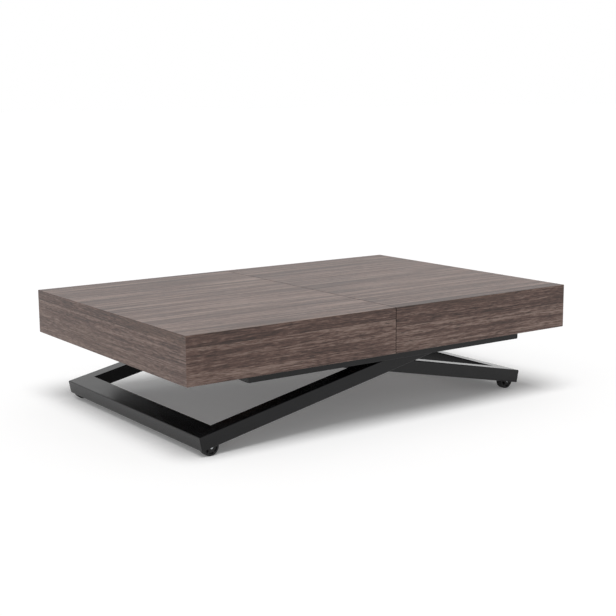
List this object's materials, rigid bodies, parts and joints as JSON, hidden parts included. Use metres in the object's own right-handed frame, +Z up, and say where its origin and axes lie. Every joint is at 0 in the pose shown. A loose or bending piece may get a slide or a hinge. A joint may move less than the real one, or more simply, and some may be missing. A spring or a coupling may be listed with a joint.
{
  "type": "convertible coffee and dining table",
  "caption": "Low box-top table on crossed tube legs with wheels; the legs open like scissors to dining height and the halves of the top slide apart for stored leaves.",
  "frame": {"origin": "on the floor under the centre of the closed top", "axes": "+X along the top towards the inner leg frame's wheels, +Y across the top, +Z up"},
  "size_m": [1.2, 0.815, 0.305],
  "materials": {
    "wood_laminate": "grey-brown wood-grain laminate, satin",
    "plain_wood": "unfinished beech",
    "powder_coat": "black satin powder coat",
    "zinc_steel": "zinc-plated steel",
    "chromed_steel": "hard chrome",
    "black_plastic": "black moulded nylon"
  },
  "bodies": {
    "left_axle": {"left_axle_pins": "zinc_steel"},
    "left_wheel_front": {"left_wheel_front": "black_plastic"},
    "left_wheel_back": {"left_wheel_back": "black_plastic"},
    "outer_legs": {"outer_leg_front": "powder_coat", "outer_leg_back": "powder_coat", "outer_cross_tube": "powder_coat", "outer_leg_caps": "black_plastic", "outer_wheel_forks": "powder_coat", "outer_pivot_sleeves": "zinc_steel", "outer_upper_bushes": "black_plastic", "centre_pivot_bolts": "zinc_steel"},
    "inner_legs": {"inner_leg_front": "powder_coat", "inner_leg_back": "powder_coat", "inner_cross_tube": "powder_coat", "inner_leg_caps": "black_plastic", "inner_wheel_forks": "powder_coat", "inner_pivot_sleeves": "zinc_steel", "inner_upper_bushes": "black_plastic", "right_axle_pins": "zinc_steel"},
    "right_wheel_front": {"right_wheel_front": "black_plastic"},
    "right_wheel_back": {"right_wheel_back": "black_plastic"},
    "sub_frame": {"side_rails": "powder_coat", "end_rails": "powder_coat", "centre_rail": "powder_coat", "side_plates": "powder_coat", "pivot_brackets": "powder_coat", "upper_pivot_shaft": "zinc_steel", "guide_plates": "powder_coat", "rod_brackets": "powder_coat", "gas_rods": "chromed_steel", "release_bearings": "powder_coat", "leaf_bearers": "powder_coat", "lower_leaf": "wood_laminate", "upper_leaf": "wood_laminate", "slide_outers": "zinc_steel"},
    "carriage": {"carriage_shafts": "zinc_steel", "push_bars": "powder_coat", "push_crossbar": "powder_coat", "gas_cylinders": "powder_coat"},
    "guide_roller_front": {"guide_roller_front": "black_plastic"},
    "guide_roller_back": {"guide_roller_back": "black_plastic"},
    "left_slides": {"left_slide_middles": "zinc_steel"},
    "right_slides": {"right_slide_middles": "zinc_steel"},
    "left_top": {"left_top_panel": "wood_laminate", "left_front_apron": "wood_laminate", "left_back_apron": "wood_laminate", "left_end_apron": "wood_laminate", "left_corner_blocks": "plain_wood", "left_slide_inners": "zinc_steel", "alignment_dowels": "plain_wood"},
    "right_top": {"right_top_panel": "wood_laminate", "right_front_apron": "wood_laminate", "right_back_apron": "wood_laminate", "right_end_apron": "wood_laminate", "right_corner_blocks": "plain_wood", "right_slide_inners": "zinc_steel"},
    "release_lever": {"release_bar": "zinc_steel", "release_paddle": "black_plastic"},
    "release_pins": {"release_pins": "chromed_steel"}
  },
  "joints": [
    {"name": "outer_legs_rise", "type": "hinge", "parent": "left_axle", "child": "outer_legs", "pos_m": [-0.50886, 0, 0.022], "axis": [0, -1, 0], "range_deg": [0, 32.5]},
    {"name": "scissor_open", "type": "hinge", "parent": "outer_legs", "child": "inner_legs", "pos_m": [0, 0, 0.14399], "axis": [0, 1, 0], "range_deg": [0, 65]},
    {"name": "top_level", "type": "hinge", "parent": "outer_legs", "child": "sub_frame", "pos_m": [0.40002, 0, 0.22631], "axis": [0, 1, 0], "range_deg": [0, 32.5]},
    {"name": "carriage_level", "type": "hinge", "parent": "inner_legs", "child": "carriage", "pos_m": [-0.40002, 0, 0.22631], "axis": [0, -1, 0], "range_deg": [0, 32.5]},
    {"name": "left_top_slide", "type": "slide", "parent": "sub_frame", "child": "left_top", "axis": [-1, 0, 0], "range_m": [0, 0.40002]},
    {"name": "left_middle_slide", "type": "slide", "parent": "sub_frame", "child": "left_slides", "axis": [-1, 0, 0], "range_m": [0, 0.20001]},
    {"name": "right_top_slide", "type": "slide", "parent": "sub_frame", "child": "right_top", "axis": [1, 0, 0], "range_m": [0, 0.40002]},
    {"name": "right_middle_slide", "type": "slide", "parent": "sub_frame", "child": "right_slides", "axis": [1, 0, 0], "range_m": [0, 0.20001]},
    {"name": "release_turn", "type": "hinge", "parent": "sub_frame", "child": "release_lever", "pos_m": [-0.44701, 0, 0.20502], "axis": [0, 1, 0], "range_deg": [0, 10], "stiffness_Nm_per_rad": 2, "springref_deg": -2.86},
    {"name": "release_pin_push", "type": "slide", "parent": "sub_frame", "child": "release_pins", "axis": [1, 0, 0], "range_m": [0, 0.00372]},
    {"name": "left_wheel_front_spin", "type": "hinge", "parent": "left_axle", "child": "left_wheel_front", "pos_m": [-0.50886, -0.343, 0.022], "axis": [0, 1, 0], "continuous": true},
    {"name": "left_wheel_back_spin", "type": "hinge", "parent": "left_axle", "child": "left_wheel_back", "pos_m": [-0.50886, 0.343, 0.022], "axis": [0, 1, 0], "continuous": true},
    {"name": "right_wheel_front_spin", "type": "hinge", "parent": "inner_legs", "child": "right_wheel_front", "pos_m": [0.50886, -0.274, 0.022], "axis": [0, 1, 0], "continuous": true},
    {"name": "right_wheel_back_spin", "type": "hinge", "parent": "inner_legs", "child": "right_wheel_back", "pos_m": [0.50886, 0.274, 0.022], "axis": [0, 1, 0], "continuous": true},
    {"name": "guide_roller_front_spin", "type": "hinge", "parent": "carriage", "child": "guide_roller_front", "pos_m": [-0.40002, -0.225, 0.22631], "axis": [0, 1, 0], "continuous": true},
    {"name": "guide_roller_back_spin", "type": "hinge", "parent": "carriage", "child": "guide_roller_back", "pos_m": [-0.40002, 0.225, 0.22631], "axis": [0, 1, 0], "continuous": true}
  ],
  "couplings": [
    {"joint": "outer_legs_rise", "follows": "scissor_open", "ratio": 0.5},
    {"joint": "top_level", "follows": "scissor_open", "ratio": 0.5},
    {"joint": "carriage_level", "follows": "scissor_open", "ratio": 0.5},
    {"joint": "left_middle_slide", "follows": "left_top_slide", "ratio": 0.5},
    {"joint": "right_middle_slide", "follows": "right_top_slide", "ratio": 0.5},
    {"joint": "release_pin_push", "follows": "release_turn", "m_per_rad": 0.0213}
  ]
}
